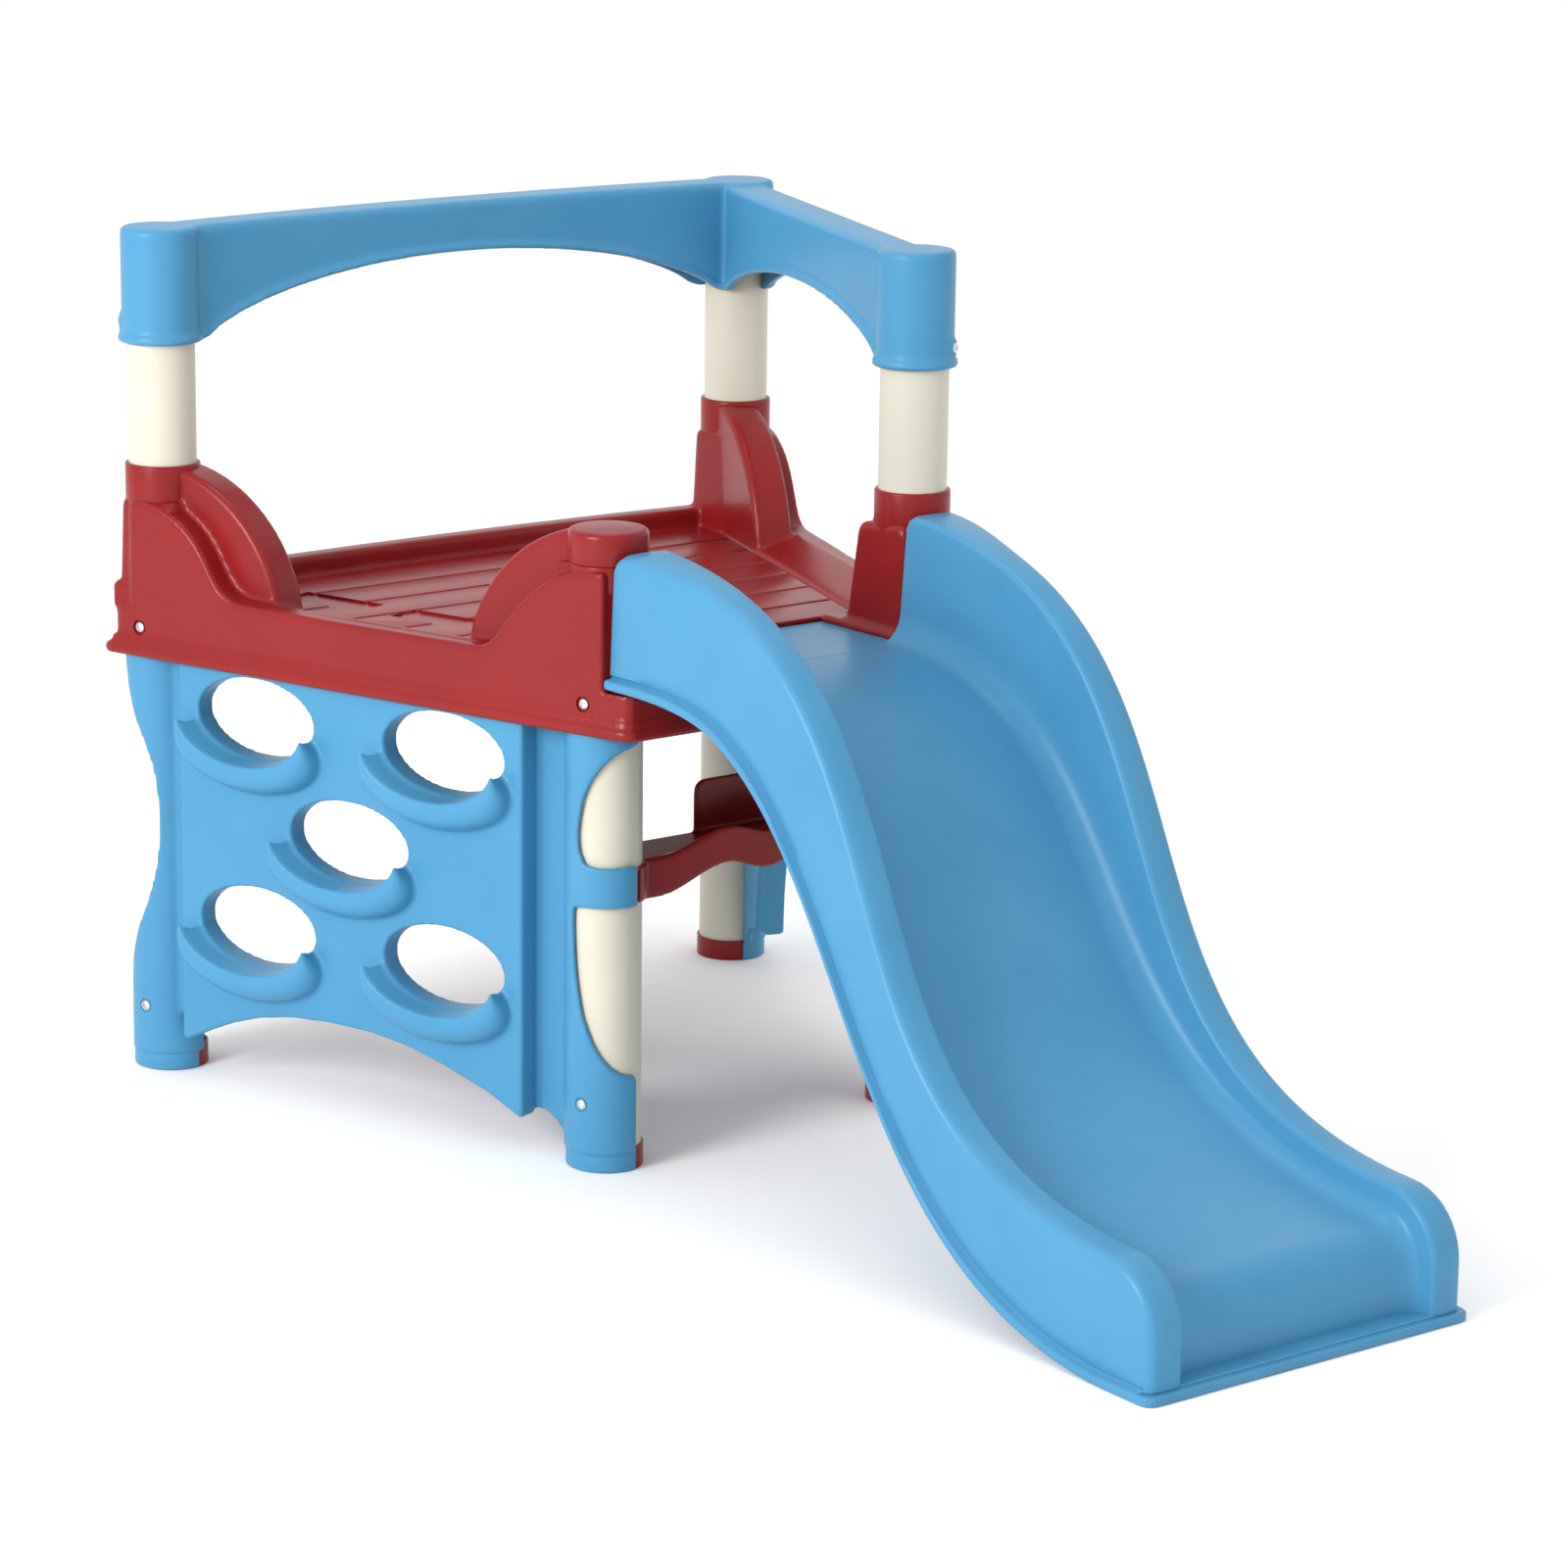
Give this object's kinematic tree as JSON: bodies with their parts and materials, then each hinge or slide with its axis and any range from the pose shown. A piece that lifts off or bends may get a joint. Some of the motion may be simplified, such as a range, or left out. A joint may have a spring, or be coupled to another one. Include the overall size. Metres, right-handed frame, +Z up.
{
  "type": "toddler slide",
  "caption": "Toddler climber with a planked deck, oval-holed climbing panel, crawl-through panel, guard rail and a short wave slide.",
  "frame": {"origin": "centre of the footprint's box, on the ground", "axes": "+X from the back rail to the toe of the slide, +Y to the right-hand side of a child facing up the slide's far side (the crawl panel's side), +Z up"},
  "size_m": [1.325, 0.798, 0.826],
  "materials": {
    "deck_red": "satin moulded polyethylene",
    "panel_blue": "satin moulded polyethylene",
    "slide_blue": "satin moulded polyethylene, polished by use on the bed",
    "post_cream": "satin plastic tube",
    "screw_steel": "zinc plated"
  },
  "bodies": {
    "root": {"deck": "deck_red", "climbing_panel": "panel_blue", "crawl_panel": "panel_blue", "slide": "slide_blue", "guard_rail": "panel_blue", "back_left_post": "post_cream", "front_left_post": "post_cream", "front_right_post": "post_cream", "back_right_post": "post_cream", "corner_cap": "deck_red", "back_left_foot": "deck_red", "front_left_foot": "deck_red", "front_right_foot": "deck_red", "back_right_foot": "deck_red", "cross_beam": "deck_red", "rail_screws": "screw_steel", "deck_screws": "screw_steel", "panel_screws": "screw_steel", "slide_screws": "screw_steel", "beam_screws": "screw_steel"}
  },
  "joints": []
}
